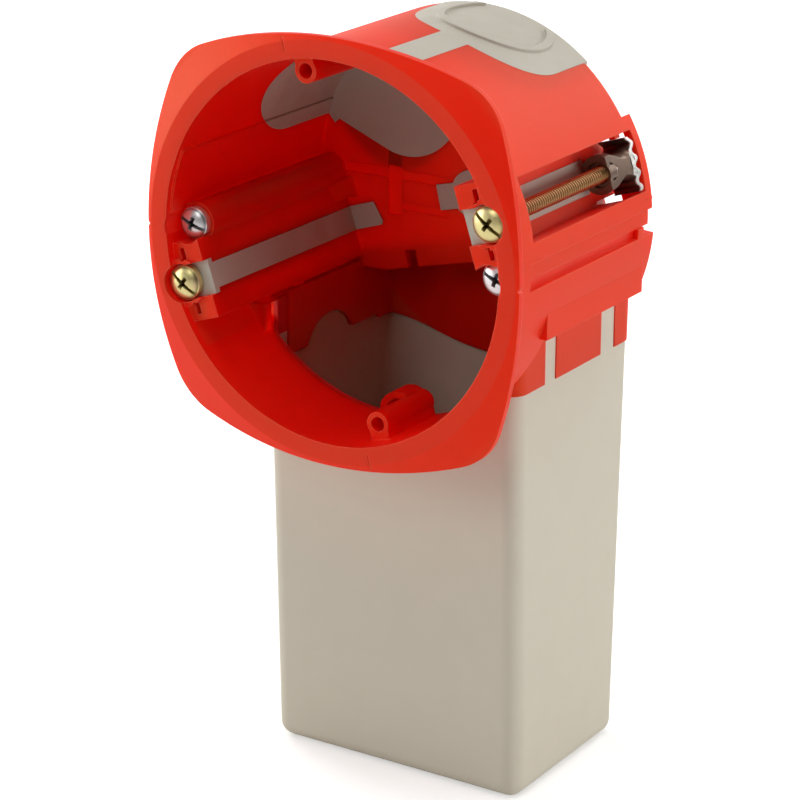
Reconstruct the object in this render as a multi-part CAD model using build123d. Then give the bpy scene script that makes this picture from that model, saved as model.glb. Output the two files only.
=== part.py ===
from build123d import *
import math
import os

os.makedirs("parts", exist_ok=True)

# Main tube and flange
TUBE_R = 33.9
TUBE_WALL = 1.2
TUBE_DEPTH = 47.5
BACK_EDGE_R = 1.4
BORE_R = TUBE_R - TUBE_WALL
BORE_DEPTH = TUBE_DEPTH - TUBE_WALL
FLANGE_HALF = TUBE_R + 2.6
FLANGE_REACH = TUBE_R + 7.8
FLANGE_CORNER_R = 11.0
FLANGE_THICK = 1.1
FLANGE_BAND_R = BORE_R + 3.1
FLANGE_SLOPE = 0.27
NOTCH_SIZE = 1.1
TWIST = 13.5
SIDE_STEP_START = 155.5
SIDE_STEP_END = 176.0
SIDE_STEP_THICK = 0.4

# Device screws and claw screws
DEVICE_SCREW_X = BORE_R - 2.7
CLAW_ANGLE = 18.1
CLAW_SCREW_R = BORE_R - 1.14
DEVICE_HEAD_R = 2.75
DEVICE_HEAD_Y = 3.4
CLAW_HEAD_R = 3.05
CLAW_HEAD_Y = 0.5
HEAD_THICK = 2.1
HEAD_RIM = 1.2
HEAD_ROOM = 0.3
HEAD_COVER = 0.8
THREAD_R = 1.45
TIP_CHAMFER = 0.4
HOLE_CLEARANCE = 0.08
DEVICE_SCREW_LENGTH = 21.0
DEVICE_TURN = 20.0
CLAW_TURN = -35.0
CROSS_LENGTH = 3.2
CROSS_WIDTH = 0.75
CROSS_DEPTH = 1.3
SLOT_WIDTH = 0.7
SLOT_DEPTH = 0.75
BOSS_R = 3.3
EMPTY_BOSS_R = 2.1
EMPTY_HOLE_R = 1.3
EMPTY_BOSS_START = DEVICE_HEAD_Y + 1.2
EMPTY_BOSS_END = 27.0

# Claw pocket, square to the radius through the claw screw
POCKET_HALF = 5.4
POCKET_FRONT = 9.6
POCKET_FLOOR = TUBE_R - 6.0
POCKET_FLOOR_THICK = 1.2
POCKET_STEP_Y = 38.9
POCKET_STEP = 0.5
POCKET_WALL = 1.5
RELIEF_LOW = -6.5
RELIEF_HIGH = -4.85
RELIEF_START = 41.0
RELIEF_REAR = 25.1
RELIEF_WALL = 1.0
STRAP_Y = TUBE_DEPTH - 0.1
STRAP_END = TUBE_DEPTH + 1.8
STRAP_THICK = 1.5
STRAP_POST = 3.8
BLOCK_FRONT = 1.6
KEY_SLOT_R = 30.4
KEY_SLOT_SIDE = 4.75
HOOK_REACH = 0.6
HOOK_ROOT = 0.5
HOOK_LENGTH = 1.6

# Electronics pouch below the tube
POUCH_HALF = TUBE_R - 8.2
POUCH_FRONT = 20.5
POUCH_BACK = TUBE_DEPTH + 8.9
POUCH_BOTTOM = -101.0
POUCH_TOP = -14.0
POUCH_DRAFT = 1.6
POUCH_WALL = 1.3
POUCH_EDGE_R = 3.0
COLLAR_LOW_Z = -17.0
COLLAR_STEP = 0.3
TAB_LOW_Z = -25.2
TAB_SINK = 0.6
TAB_PROUD = 0.25
RIGHT_CUT_Z = -12.9
LEFT_CUT_Z = -18.0
CHORD_DROP = 12.2
ROOF_RISE = 3.6
LINER_THICK = 0.8
SKIRT_X = TUBE_R - 1.0
SKIRT_HIGH_Z = -8.0
SKIRT_END = TUBE_DEPTH + 0.7

# Soft grey pieces
SEAL_STRIP_HALF = 3.0
SEAL_INNER_HALF = 2.2
SEAL_PROUD = 0.15
SEAL_PLATE = 1.1
SEAL_FRONT = CLAW_HEAD_Y + HEAD_THICK + 0.1
SEAL_LEG_END = 20.4
SEAL_LEG_THICK = 0.6
LOBE_ANGLE = 27.5
LOBE_HALF = 14.6
LOBE_FRONT = 25.2
LOBE_OVERLAP = 6.0
LOBE_CORNER = LOBE_HALF + 2.4
LOBE_CORNER_SMALL = LOBE_HALF - 3.1
LOBE_BACK_R = 11.2
LOBE_CENTRE_R = TUBE_R - 12.7
LINING_GROW = 1.6
SMALL_LOBE_ANGLE = 36.0
SMALL_LOBE_HALF = 10.4
SMALL_LOBE_CORNER = SMALL_LOBE_HALF - 2.4
RUNNER_WIDTH = 5.8
RUNNER_ANGLE = 75.5
DISC_R = 4.3

# Claws
CLAW_SHEET = 0.9
CLAW_COLLAR_Y = 37.1
CLAW_COLLAR_THICK = 1.3
CLAW_COLLAR_R = 3.4
CLAW_WAIST_R = 2.35
CLAW_LIP_Y = TUBE_DEPTH - 1.45
CLAW_LIP_LOW = -5.05
CLAW_LIP_HIGH = 4.45
CLAW_LIP_INNER = POCKET_FLOOR + 0.2
CLAW_WAVE = 0.6
CLAW_WAVE_LENGTH = 2.58
CLAW_WAVE_PEAK = 0.65
CLAW_GAP = 0.15
CLAW_BACK = 0.15
CLAW_THREAD_LENGTH = 2.4


def along_y(sketch, start, end):
    """Extrude a sketch drawn in x and z from one depth to another."""
    return extrude(Plane.XZ.offset(-start) * sketch, amount=-(end - start))


def block(x0, x1, y0, y1, z0, z1):
    """Box given by its two corners."""
    centre = ((x0 + x1) / 2, (y0 + y1) / 2, (z0 + z1) / 2)
    return Pos(*centre) * Box(abs(x1 - x0), abs(y1 - y0), abs(z1 - z0))


def polar(radius, degrees):
    """Point at a radius and angle in the x and z plane."""
    turn = math.radians(degrees)
    return (radius * math.cos(turn), radius * math.sin(turn))


def sector(inner, outer, start, end):
    """Ring sector between two radii and two angles, in x and z."""
    middle = (start + end) / 2
    points = [polar(inner, start), polar(outer, start), polar(outer, middle),
              polar(outer, end), polar(inner, end), polar(inner, middle)]
    with BuildSketch() as ring:
        with BuildLine():
            Line(points[0], points[1])
            ThreePointArc(points[1], points[2], points[3])
            Line(points[3], points[4])
            ThreePointArc(points[4], points[5], points[0])
        make_face()
    return ring.sketch


def half_turn(part):
    """Same part turned half a turn about the tube axis."""
    return Rot(0, 180, 0) * part


def biggest(part):
    """Largest solid of a result, without stray slivers."""
    return max(part.solids(), key=lambda solid: solid.volume)


def tidy(part, least=0.5):
    """All solids of a result that are larger than a sliver."""
    solids = [solid for solid in part.solids() if solid.volume > least]
    return solids[0] if len(solids) == 1 else Compound(children=solids)


def pouch_front(z):
    return POUCH_FRONT - (z - POUCH_BOTTOM) * math.tan(math.radians(POUCH_DRAFT))


def pouch_back(z):
    return POUCH_BACK + (z - POUCH_BOTTOM) * math.tan(math.radians(POUCH_DRAFT))


def pouch_prism(low, high, grow):
    """Drafted block with the pouch outline, grown outwards by an amount."""
    faces = []
    for z in (low, high):
        front = pouch_front(z) - grow
        back = pouch_back(z) + grow
        outline = RectangleRounded(2 * (POUCH_HALF + grow), back - front,
                                   max(POUCH_EDGE_R + grow, 0.4))
        faces.append(Plane.XY.offset(z) * Pos(0, (front + back) / 2) * outline)
    return loft(faces)


def flange_outline():
    """Rounded square with gently bulged sides."""
    corner = (FLANGE_REACH - FLANGE_CORNER_R) / math.sqrt(2)
    side = FLANGE_HALF - corner
    bulge = (FLANGE_CORNER_R ** 2 - side ** 2 - corner ** 2) / (2 * (FLANGE_CORNER_R - side))
    shift = FLANGE_HALF - bulge
    turn = math.atan2(corner, corner - shift)
    meet = (shift + bulge * math.cos(turn), bulge * math.sin(turn))
    tip = corner + FLANGE_CORNER_R / math.sqrt(2)
    with BuildSketch() as outline:
        with BuildLine():
            for quarter in range(4):
                spin = Rot(0, 0, 90 * quarter)
                points = [(meet[0], -meet[1]), (FLANGE_HALF, 0), meet,
                          (tip, tip), (meet[1], meet[0])]
                places = [spin * Pos(x, y) for x, y in points]
                turned = [(p.position.X, p.position.Y) for p in places]
                ThreePointArc(turned[0], turned[1], turned[2])
                ThreePointArc(turned[2], turned[3], turned[4])
        make_face()
    return outline.sketch


def make_flange():
    """Dished front flange: flat ring band, then a face that falls back."""
    far = FLANGE_REACH + 2
    fall = (far - FLANGE_BAND_R) * FLANGE_SLOPE
    profile = Polyline((BORE_R, 0), (FLANGE_BAND_R, 0), (far, fall),
                       (far, fall + FLANGE_THICK), (FLANGE_BAND_R, FLANGE_THICK),
                       (BORE_R, FLANGE_THICK), close=True)
    dish = revolve(Plane.XY * make_face(profile), axis=Axis.Y)
    flange = dish & along_y(flange_outline(), -1, fall + FLANGE_THICK + 1)
    reach = FLANGE_HALF + 0.35
    for degrees in (0, 90 + TWIST, 180, -90 + TWIST):
        x, z = polar(reach / max(math.cos(math.radians(TWIST)), 0.9) ** (degrees % 180 != 0),
                     degrees)
        notch = Pos(x, z) * Rot(0, 0, degrees + 45) * Rectangle(NOTCH_SIZE, NOTCH_SIZE)
        flange -= along_y(notch, -1, 4)
    for degrees in (90 + TWIST, -90 + TWIST):
        x, z = polar((BORE_R + FLANGE_HALF) / 2, degrees)
        score = Pos(x, z) * Rot(0, 0, degrees) * Rectangle(FLANGE_HALF - BORE_R, 0.25)
        flange -= along_y(score, -1, 0.25)
    return flange


def cut_zone(half_x, rise, start):
    """Space beside the pouch collar that the tube leaves free."""
    deep = TUBE_R + 3
    right = block(half_x, deep, start, 80, -deep, RIGHT_CUT_Z + rise)
    left = block(-deep, -half_x, start, 80, -deep, LEFT_CUT_Z + rise)
    return right + left


def above_line(shift, start, end):
    """Everything above the sloping lower edge of the rear wall."""
    slab = Rot(0, 0, TWIST) * Pos(0, 40 - CHORD_DROP + shift) * Rectangle(160, 80)
    return along_y(slab, start, end)


def side_skirt():
    """Upright facet along the right side above the collar."""
    front = pouch_front(POUCH_TOP) - 2.5
    face = Polyline((24, SKIRT_HIGH_Z + 2), (SKIRT_X - 0.9, SKIRT_HIGH_Z + 2),
                    (SKIRT_X, SKIRT_HIGH_Z - 0.4), (SKIRT_X, RIGHT_CUT_Z),
                    (24, RIGHT_CUT_Z), close=True)
    return along_y(make_face(face), front, SKIRT_END)


def outer_body():
    tube = along_y(Circle(TUBE_R), 0, TUBE_DEPTH)
    rim = tube.edges().filter_by(GeomType.CIRCLE).sort_by(Axis.Y)[-1]
    tube = fillet(rim, BACK_EDGE_R)
    wing = along_y(sector(20, TUBE_R, -23.3, -4.3), TUBE_DEPTH - 3, TUBE_DEPTH + 2.6)
    rail = along_y(sector(30, TUBE_R, -1.4, 9.0), TUBE_DEPTH - 3, STRAP_END - 0.6)
    tube = tube + wing + rail
    neck_front = pouch_front(POUCH_TOP) - COLLAR_STEP
    tube -= cut_zone(POUCH_HALF + COLLAR_STEP, 0, neck_front)
    meet = pouch_front(-30) + 0.4
    tube -= block(-60, 60, meet, 80, -60, COLLAR_LOW_Z)
    for side in (-1, 1):
        tube -= block(side * (POUCH_HALF - POUCH_WALL + 0.2), side * 60, neck_front, 80,
                      -60, COLLAR_LOW_Z)
    collar = pouch_prism(COLLAR_LOW_Z, 10, COLLAR_STEP)
    collar -= above_line(ROOF_RISE + TUBE_WALL, 0, 80)
    return tube + side_skirt() + collar


def inner_space():
    bore = along_y(Circle(BORE_R), -1, BORE_DEPTH)
    neck_front = pouch_front(POUCH_TOP) - COLLAR_STEP
    bore -= cut_zone(POUCH_HALF - POUCH_WALL, TUBE_WALL, neck_front - TUBE_WALL)
    neck = pouch_prism(-60, 10, -POUCH_WALL)
    neck -= above_line(0, BORE_DEPTH, TUBE_DEPTH)
    neck -= above_line(ROOF_RISE, TUBE_DEPTH, 80)
    notch = Rot(0, 0, TWIST) * Pos(-15.7, -CHORD_DROP + 1.0) * Rectangle(2.2, 4.4)
    return bore + neck + along_y(notch, BORE_DEPTH - 1, TUBE_DEPTH)


def radial(part):
    """Turn a piece drawn along x so that it points through the claw screw."""
    return Rot(0, -CLAW_ANGLE, 0) * part


def pocket_lining():
    """Inward bump that carries the pocket and the block behind the screw head."""
    side = POCKET_HALF + POCKET_WALL
    floor = POCKET_FLOOR - POCKET_FLOOR_THICK
    bump = block(floor, TUBE_R, BLOCK_FRONT, BORE_DEPTH + 0.3, -side, side)
    profile = Polyline((floor + 1, RELIEF_START - RELIEF_WALL),
                       (RELIEF_REAR - RELIEF_WALL, BORE_DEPTH + 0.3),
                       (TUBE_R, BORE_DEPTH + 0.3), (TUBE_R, RELIEF_START - RELIEF_WALL),
                       close=True)
    low = RELIEF_LOW - RELIEF_WALL
    corner = extrude(Plane.XY.offset(low) * make_face(profile),
                     amount=RELIEF_HIGH + RELIEF_WALL - low)
    inside = along_y(Circle(BORE_R + 0.6), 0, TUBE_DEPTH - 0.3)
    return radial(bump + corner) & inside


def pocket_cut():
    """Open space of the pocket, with its rear step and the open lower corner."""
    rear = TUBE_DEPTH + 4
    space = block(POCKET_FLOOR, 40, POCKET_FRONT, rear, -POCKET_HALF, POCKET_HALF)
    space += block(POCKET_FLOOR - POCKET_STEP, 40, POCKET_STEP_Y, rear,
                   -POCKET_HALF, POCKET_HALF)
    profile = Polyline((POCKET_FLOOR - POCKET_STEP, RELIEF_START), (RELIEF_REAR, TUBE_DEPTH),
                       (RELIEF_REAR, rear), (TUBE_R - STRAP_THICK, rear),
                       (TUBE_R - STRAP_THICK, RELIEF_START), close=True)
    corner = extrude(Plane.XY.offset(RELIEF_LOW) * make_face(profile),
                     amount=RELIEF_HIGH - RELIEF_LOW)
    ring = Circle(TUBE_R + 4) - Circle(TUBE_R - STRAP_THICK)
    strap = along_y(ring, STRAP_Y, STRAP_END)
    post = block(TUBE_R - STRAP_THICK - STRAP_POST, 40, STRAP_Y, STRAP_END,
                 RELIEF_LOW - 1, RELIEF_HIGH + 0.3)
    return radial(space + corner - strap - post)


def strap_block():
    """Outer strap, the thickened strip above the pocket and the post at its foot."""
    ring = sector(TUBE_R - STRAP_THICK, TUBE_R, 3.3, 31.5)
    strap = along_y(ring, TUBE_DEPTH - 4, STRAP_END)
    post = block(TUBE_R - STRAP_THICK - STRAP_POST, TUBE_R - 0.6, STRAP_Y, STRAP_END,
                 RELIEF_LOW - 0.6, RELIEF_HIGH + 0.3)
    return strap + radial(post)


def claw_hook():
    """Small nose on the upper edge of the pocket that holds the claw back."""
    x = math.sqrt(TUBE_R ** 2 - POCKET_HALF ** 2) - 0.9
    return radial(block(x - 0.6, x + 0.6, CLAW_LIP_Y - 3.6, CLAW_LIP_Y - 3.6 + HOOK_LENGTH,
                        POCKET_HALF - HOOK_REACH, POCKET_HALF + HOOK_ROOT))


def head_pocket():
    """Room for the claw screw's head and for the soft plate under it."""
    room = along_y(Pos(CLAW_SCREW_R, 0) * Circle(CLAW_HEAD_R + HEAD_ROOM), -1, SEAL_FRONT)
    slot = block(POCKET_FLOOR - 3, CLAW_SCREW_R, -1, SEAL_FRONT,
                 -SEAL_STRIP_HALF, SEAL_STRIP_HALF)
    keys = along_y(Pos(KEY_SLOT_R, KEY_SLOT_SIDE) * Rectangle(0.9, 2.2)
                   + Pos(KEY_SLOT_R, -KEY_SLOT_SIDE) * Rectangle(0.9, 2.2),
                   0, POCKET_FRONT - 1.5)
    return radial(room + slot + keys)


def head_cover():
    """Thin outer cover where the room for the head passes the tube wall."""
    cover = along_y(Pos(CLAW_SCREW_R, 0) * Circle(CLAW_HEAD_R + HEAD_ROOM + HEAD_COVER),
                    FLANGE_THICK - 0.2, SEAL_FRONT + HEAD_COVER)
    return radial(cover)


def rear_grooves():
    """Shallow cross of grooves on the inside of the rear wall."""
    upright = along_y(Pos(-16.4, -0.3) * Rectangle(3.0, 12.2), BORE_DEPTH - 1, BORE_DEPTH + 0.5)
    level = along_y(Pos(-15.5, 1.2) * Rectangle(23, 1.8), BORE_DEPTH - 1, BORE_DEPTH + 0.3)
    lower = along_y(Pos(-10, -4.5) * Rectangle(10, 1.4), BORE_DEPTH - 1, BORE_DEPTH + 0.3)
    return upright + level + lower


def screw_boss(x, z, radius, start, end):
    """Round boss joined to the tube wall."""
    turn = math.degrees(math.atan2(z, x))
    reach = TUBE_R - 0.4 - math.hypot(x, z)
    web = Pos(x, z) * Rot(0, 0, turn) * Pos(reach / 2, 0) * Rectangle(reach, 1.7 * radius)
    return along_y(Pos(x, z) * Circle(radius) + web, start, end) & \
        along_y(Circle(TUBE_R - 0.4), 0, TUBE_DEPTH - 0.4)


def empty_boss_places():
    return [polar(DEVICE_SCREW_X, 90 + TWIST), polar(DEVICE_SCREW_X, -90 + TWIST)]


def wavy_liner():
    """Red lining that runs down inside the pouch, with a wavy lower edge."""
    low_z = -34
    sheet = pouch_prism(low_z, COLLAR_LOW_Z + 1, 0.1 - POUCH_WALL)
    sheet -= pouch_prism(low_z - 1, COLLAR_LOW_Z + 2, -POUCH_WALL - LINER_THICK)
    inner = POUCH_HALF
    edge = Spline((-inner, -28.6), (-17, -29.4), (-8.6, -31.6), (0, -32.6), (inner, -30.4))
    sides = Polyline((inner, -30.4), (inner, -10), (-inner, -10), (-inner, -28.6))
    rear = along_y(make_face([edge, sides]), pouch_back(low_z) - 6, 80)
    flank = block(-40, 40, pouch_front(low_z) + 5, pouch_back(low_z) - 5, -27.6, -10)
    arch = Pos(0, 36.2, -31) * Rot(0, 90, 0) * Cylinder(8.0, 80)
    return sheet & (rear + (flank - arch))


def tab_blocks():
    """Fingers of the collar that reach down over the pouch."""
    shell = pouch_prism(TAB_LOW_Z, COLLAR_LOW_Z + 0.5, TAB_PROUD)
    shell -= pouch_prism(TAB_LOW_Z - 1, COLLAR_LOW_Z + 1, -TAB_SINK)
    front = pouch_front(-20)
    spans = ((front - 2, 27.4), (31.2, 46.8), (51.8, 70))
    keep = [block(12, 40, a, b, TAB_LOW_Z, COLLAR_LOW_Z + 0.5) for a, b in spans]
    keep += [block(-40, -12, a, b, TAB_LOW_Z, COLLAR_LOW_Z + 0.5) for a, b in spans]
    keep += [block(-6, 6, 40, 70, TAB_LOW_Z, COLLAR_LOW_Z + 0.5)]
    keep += [block(-7, 7, 0, 30, TAB_LOW_Z, COLLAR_LOW_Z + 0.5)]
    zone = keep[0]
    for piece in keep[1:]:
        zone += piece
    for x in (-1, 1):
        zone -= block(x * 40, x * (POUCH_HALF - 4.5), 45, 80, TAB_LOW_Z - 1, -10) \
            - block(x * 40, x * (POUCH_HALF - 4.5), 45, pouch_back(-20) - 0.6,
                    TAB_LOW_Z - 1, -10)
    return shell & zone


def lobe(degrees, half, front, left_corner, right_corner):
    """Cutting body of one lobe: a patch on the tube wall that runs on to the rear wall."""
    length = TUBE_DEPTH + 6 - front
    patch = Rectangle(2 * half, length)
    for index, radius in ((0, left_corner), (1, right_corner)):
        low = patch.vertices().group_by(Axis.Y)[0].sort_by(Axis.X)
        patch = fillet(low[-index], min(radius, length - 1))
    plate = extrude(Pos(0, front + length / 2) * patch, amount=9)
    plate = Rot(0, -degrees + 90, 0) * Pos(0, 0, TUBE_R - 8) * plate
    meet_x = math.sqrt(BORE_R ** 2 - half ** 2)
    reach = math.hypot(meet_x - LOBE_CENTRE_R, half)
    turn = math.atan2(half, meet_x - LOBE_CENTRE_R) + math.acos(min(1, LOBE_BACK_R / reach))
    touch_x = LOBE_CENTRE_R + LOBE_BACK_R * math.cos(turn)
    touch_z = LOBE_BACK_R * math.sin(turn)
    web = Polyline((TUBE_R + 3, half), (meet_x, half), (touch_x, touch_z),
                   (touch_x, -touch_z), (meet_x, -half), (TUBE_R + 3, -half), close=True)
    shape = Pos(LOBE_CENTRE_R, 0) * Circle(LOBE_BACK_R) + make_face(web)
    return plate + along_y(Rot(0, 0, degrees) * shape, TUBE_DEPTH - 6, TUBE_DEPTH + 6)


def outer_lobes():
    """Lobes seen from outside: a wide one and a small one."""
    middle = 90 + TWIST
    wide = lobe(middle - LOBE_ANGLE, LOBE_HALF, LOBE_FRONT, LOBE_CORNER, LOBE_CORNER_SMALL)
    small = lobe(middle + SMALL_LOBE_ANGLE, SMALL_LOBE_HALF, LOBE_FRONT,
                 SMALL_LOBE_CORNER, SMALL_LOBE_CORNER)
    return wide + small


def inner_lobes():
    """Lobes of the lining, wider than those outside and alike on both sides."""
    half = LOBE_HALF + LINING_GROW
    front = LOBE_FRONT - LOBE_OVERLAP
    lobes = [lobe(90 + TWIST + side * LOBE_ANGLE, half, front, half - 2, half - 2)
             for side in (-1, 1)]
    return lobes[0] + lobes[1]


def wall_region(inner, outer, back_in, back_out):
    """Cup between two radii and two depths."""
    cup = along_y(Circle(outer), 3, back_out)
    return cup - along_y(Circle(inner), 2, back_in)


def membrane_body(outer_skin):
    """Soft cable membrane: smaller outside, larger inside, with its runner."""
    half = TUBE_R - TUBE_WALL / 2
    skin = outer_skin & (outer_lobes() & wall_region(half - 0.02, TUBE_R + 1,
                                                     TUBE_DEPTH - 0.62, TUBE_DEPTH + 1))
    inner = inner_lobes()
    lining = inner & wall_region(BORE_R, half, BORE_DEPTH, TUBE_DEPTH - TUBE_WALL / 2)
    step = along_y(sector(BORE_R - SIDE_STEP_THICK, BORE_R + 0.1, SIDE_STEP_START,
                          SIDE_STEP_END), 3, BORE_DEPTH + 0.1)
    lining += inner & step
    start = FLANGE_THICK + 0.3
    turn = math.degrees(RUNNER_WIDTH / 2 / TUBE_R)
    runner = along_y(sector(half, TUBE_R, RUNNER_ANGLE - turn, RUNNER_ANGLE + turn),
                     start, LOBE_FRONT + 3)
    return skin + lining + runner


def membrane_ridges():
    """Raised rings where a pipe or cable is pushed through."""
    ridges = None
    places = ((-LOBE_ANGLE, LOBE_HALF - 4.4), (SMALL_LOBE_ANGLE, SMALL_LOBE_HALF - 3.4))
    for angle, radius in places:
        degrees = 90 + TWIST + angle
        ring = Circle(radius) - Circle(radius - 1.4)
        lane = extrude(Pos(0, TUBE_DEPTH - 8) * ring, amount=6)
        lane = Rot(0, -degrees + 90, 0) * Pos(0, 0, TUBE_R - 4) * lane
        lane &= along_y(Circle(TUBE_R + 0.5) - Circle(TUBE_R - 0.3), 3, TUBE_DEPTH - 1.6)
        ridges = lane if ridges is None else ridges + lane
    return ridges


def seal_body():
    """Soft strip through the pocket floor, with its plate under the screw head."""
    inner = POCKET_FLOOR - POCKET_FLOOR_THICK - SEAL_PROUD
    recess = POCKET_FLOOR - POCKET_STEP
    strip = block(recess, POCKET_FLOOR, SEAL_FRONT, POCKET_STEP_Y,
                  -SEAL_STRIP_HALF, SEAL_STRIP_HALF)
    web = block(inner, recess, SEAL_FRONT, BORE_DEPTH + SEAL_LEG_THICK,
                -SEAL_INNER_HALF, SEAL_INNER_HALF)
    foot = Polyline((inner + 0.2, -SEAL_INNER_HALF), (SEAL_LEG_END + 0.9, -SEAL_INNER_HALF),
                    (SEAL_LEG_END, SEAL_INNER_HALF - 0.6),
                    (SEAL_LEG_END + 0.4, SEAL_INNER_HALF), (inner + 0.2, SEAL_INNER_HALF),
                    close=True)
    leg = along_y(make_face(foot), BORE_DEPTH - SEAL_PROUD, BORE_DEPTH + SEAL_LEG_THICK)
    plate = block(inner, CLAW_SCREW_R + THREAD_R + 0.6, SEAL_FRONT, SEAL_FRONT + SEAL_PLATE,
                  -SEAL_STRIP_HALF, SEAL_STRIP_HALF)
    hole = along_y(Pos(CLAW_SCREW_R, 0) * Circle(THREAD_R + HOLE_CLEARANCE), 0, 8)
    whole = radial(strip + web + leg + plate - hole)
    return whole & along_y(Circle(BORE_R + 0.9), 0, TUBE_DEPTH)


def rear_disc():
    """Grey gate disc with its square runner tab on the rear wall."""
    shape = Circle(DISC_R) + Pos(-5.1, 0) * Rectangle(4.2, 4.6)
    return along_y(Rot(0, 0, TWIST) * shape, BORE_DEPTH - 0.35, BORE_DEPTH + 0.55)


def box_shell_raw():
    shell = outer_body() + make_flange()
    shell -= inner_space()
    shell -= along_y(Circle(BORE_R), -1, FLANGE_THICK + 1)
    device_hole = Pos(DEVICE_SCREW_X, 0) * Circle(THREAD_R + HOLE_CLEARANCE)
    device_room = Pos(DEVICE_SCREW_X, 0) * Circle(DEVICE_HEAD_R + HEAD_ROOM)
    claw_hole = Pos(CLAW_SCREW_R, 0) * Circle(THREAD_R + HOLE_CLEARANCE)
    under_head = DEVICE_HEAD_Y + HEAD_THICK
    for turned in (False, True):
        place = half_turn if turned else (lambda part: part)
        shell += place(along_y(sector(BORE_R - SIDE_STEP_THICK, BORE_R + 0.3, SIDE_STEP_START,
                                      SIDE_STEP_END), FLANGE_THICK, BORE_DEPTH + 0.3))
        shell += place(pocket_lining() + head_cover())
        shell += place(strap_block())
        shell += place(screw_boss(DEVICE_SCREW_X, 0, BOSS_R, under_head + 0.02,
                                  BORE_DEPTH + 0.3))
        shell -= place(pocket_cut())
        shell += place(claw_hook())
        shell -= place(along_y(device_hole, 0, under_head + DEVICE_SCREW_LENGTH + 1))
        shell -= place(radial(along_y(claw_hole, 0, POCKET_FRONT + 1)))
        shell -= place(head_pocket())
        shell -= place(along_y(device_room, -1, under_head))
        shell -= place(along_y(sector(TUBE_R - 0.5, TUBE_R + 2, -1.4, 3.3), 8.2, 80))
        shell -= place(along_y(sector(TUBE_R - 0.95, TUBE_R + 2, -4.4, -1.4), 8.2,
                               TUBE_DEPTH - 3))
        shell -= place(along_y(sector(TUBE_R - 2.2, TUBE_R + 2, -4.4, -1.4),
                               TUBE_DEPTH - 1.0, 80))
    for index, (x, z) in enumerate(empty_boss_places()):
        end = EMPTY_BOSS_END if index == 0 else pouch_front(POUCH_TOP) + 1.0
        shell += screw_boss(x, z, EMPTY_BOSS_R, EMPTY_BOSS_START, end)
        shell -= along_y(Pos(x, z) * Circle(EMPTY_HOLE_R), 0, end - 2)
    arch_x, arch_z = polar(BORE_R - 0.4, -86)
    arch = Pos(arch_x, arch_z) * (Circle(3.8) - Circle(2.6))
    shell += along_y(arch, pouch_front(POUCH_TOP) + 0.4, pouch_front(POUCH_TOP) + 5.4) & \
        along_y(Circle(BORE_R + 0.3), 0, TUBE_DEPTH)
    shell += wavy_liner()
    return shell - rear_grooves()


def head_recess(top, turn):
    """Combined slot and cross recess of a screw head."""
    cross = Rectangle(CROSS_LENGTH, CROSS_WIDTH) + Rectangle(CROSS_WIDTH, CROSS_LENGTH)
    slot = Rectangle(3 * CLAW_HEAD_R, SLOT_WIDTH)
    turned = Rot(0, 0, turn)
    return along_y(turned * cross, top - 1, top + CROSS_DEPTH) \
        + along_y(turned * slot, top - 1, top + SLOT_DEPTH)


def make_screw(head_r, top, length, turn):
    """Pan head screw with a cross and slot recess, on the tube axis."""
    under = top + HEAD_THICK
    rim = under - HEAD_RIM
    sides = Polyline((0, top), (0, under), (head_r, under), (head_r, rim), close=False)
    crown = ThreePointArc((head_r, rim), (head_r * 0.72, top + 0.22), (0, top))
    head = revolve(make_face([sides, crown]), axis=Axis.Y)
    shank = along_y(Circle(THREAD_R), under - 0.1, under + length)
    end = shank.edges().filter_by(GeomType.CIRCLE).sort_by(Axis.Y)[-1]
    shank = chamfer(end, TIP_CHAMFER)
    return biggest(head + shank - head_recess(top, turn))


def claw_neck(shrink):
    """Body of the claw turned about the screw: collar, waist and flare."""
    collar = CLAW_COLLAR_R - shrink
    waist = CLAW_WAIST_R - shrink
    start = CLAW_COLLAR_Y + shrink
    shoulder = CLAW_COLLAR_Y + CLAW_COLLAR_THICK
    flare = CLAW_LIP_Y - shrink
    middle = (shoulder + flare) / 2
    curve = Spline((collar, shoulder), (waist + 0.25, middle - 0.6), (waist, middle + 1.4),
                   (waist + 1.0, flare))
    sides = Polyline((waist + 1.0, flare), (0, flare), (0, start), (collar, start),
                     (collar, shoulder))
    return revolve(make_face([curve, sides]), axis=Axis.Y)


def claw_lip():
    """Corrugated plate across the rear of the claw."""
    steps = 24
    ribbon = []
    for index in range(steps + 1):
        side = CLAW_LIP_LOW + (CLAW_LIP_HIGH - CLAW_LIP_LOW) * index / steps
        turn = 2 * math.pi * (side - CLAW_WAVE_PEAK) / CLAW_WAVE_LENGTH
        ribbon.append((CLAW_LIP_Y + CLAW_WAVE * math.cos(turn), side))
    front = [(y - CLAW_SHEET / 2, side) for y, side in ribbon]
    back = [(y + CLAW_SHEET / 2, side) for y, side in ribbon]
    sides = [Line(front[0], back[0]), Line(front[-1], back[-1])]
    face = make_face([Spline(*front), Spline(*back)] + sides)
    return extrude(Plane.YZ.offset(CLAW_LIP_INNER) * face, amount=12)


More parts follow.
